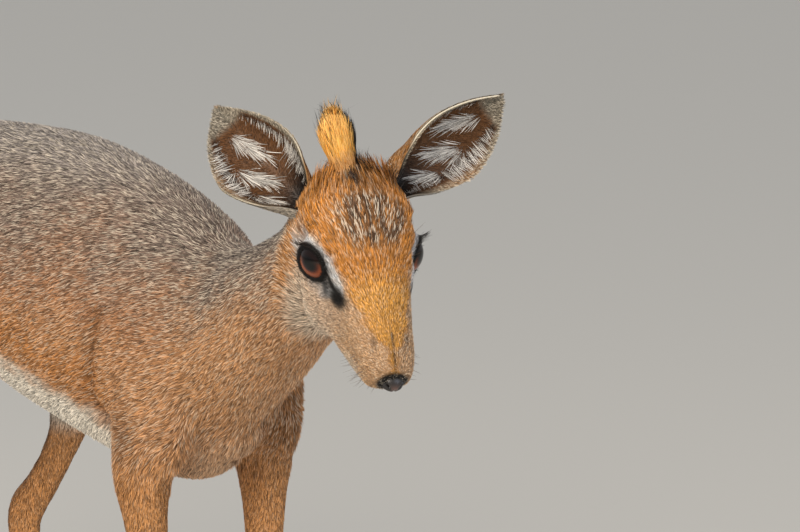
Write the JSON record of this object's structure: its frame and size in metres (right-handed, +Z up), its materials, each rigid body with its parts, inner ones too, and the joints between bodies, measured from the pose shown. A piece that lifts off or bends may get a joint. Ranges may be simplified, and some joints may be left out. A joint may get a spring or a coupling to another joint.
{
  "type": "dik-dik antelope",
  "caption": "Life-size female dik-dik, a small crested antelope, standing still with her head turned to one side.",
  "frame": {"origin": "on the floor under the middle of the bounding box", "axes": "+X the way her body faces, +Y to her left, +Z up"},
  "size_m": [0.5896, 0.1394, 0.4407],
  "materials": {
    "agouti_coat": "short coarse grey coat with a dark fleck",
    "tawny_coat": "short sleek orange-brown coat",
    "orange_crest": "long stiff hair, dark at the tips",
    "ear_skin": "thin skin under very short hair",
    "wet_eye": "wet and glossy",
    "nose_skin": "moist bare skin",
    "hoof_horn": "dull horn"
  },
  "bodies": {
    "root": {"crest": "orange_crest", "ear_left": "ear_skin", "ear_right": "ear_skin", "eye_left": "wet_eye", "eye_right": "wet_eye", "fore_cannon_left": "tawny_coat", "fore_cannon_right": "tawny_coat", "fore_pastern_left": "tawny_coat", "fore_pastern_right": "tawny_coat", "foreleg_left": "tawny_coat", "foreleg_right": "tawny_coat", "head": "tawny_coat", "hind_cannon_left": "tawny_coat", "hind_cannon_right": "tawny_coat", "hind_pastern_left": "tawny_coat", "hind_pastern_right": "tawny_coat", "hindleg_left": "tawny_coat", "hindleg_right": "tawny_coat", "hoof_fore_left_inner": "hoof_horn", "hoof_fore_left_outer": "hoof_horn", "hoof_fore_right_inner": "hoof_horn", "hoof_fore_right_outer": "hoof_horn", "hoof_hind_left_inner": "hoof_horn", "hoof_hind_left_outer": "hoof_horn", "hoof_hind_right_inner": "hoof_horn", "hoof_hind_right_outer": "hoof_horn", "lower_jaw": "tawny_coat", "neck": "agouti_coat", "nose_pad": "nose_skin", "tail": "agouti_coat", "torso": "agouti_coat"}
  },
  "joints": []
}
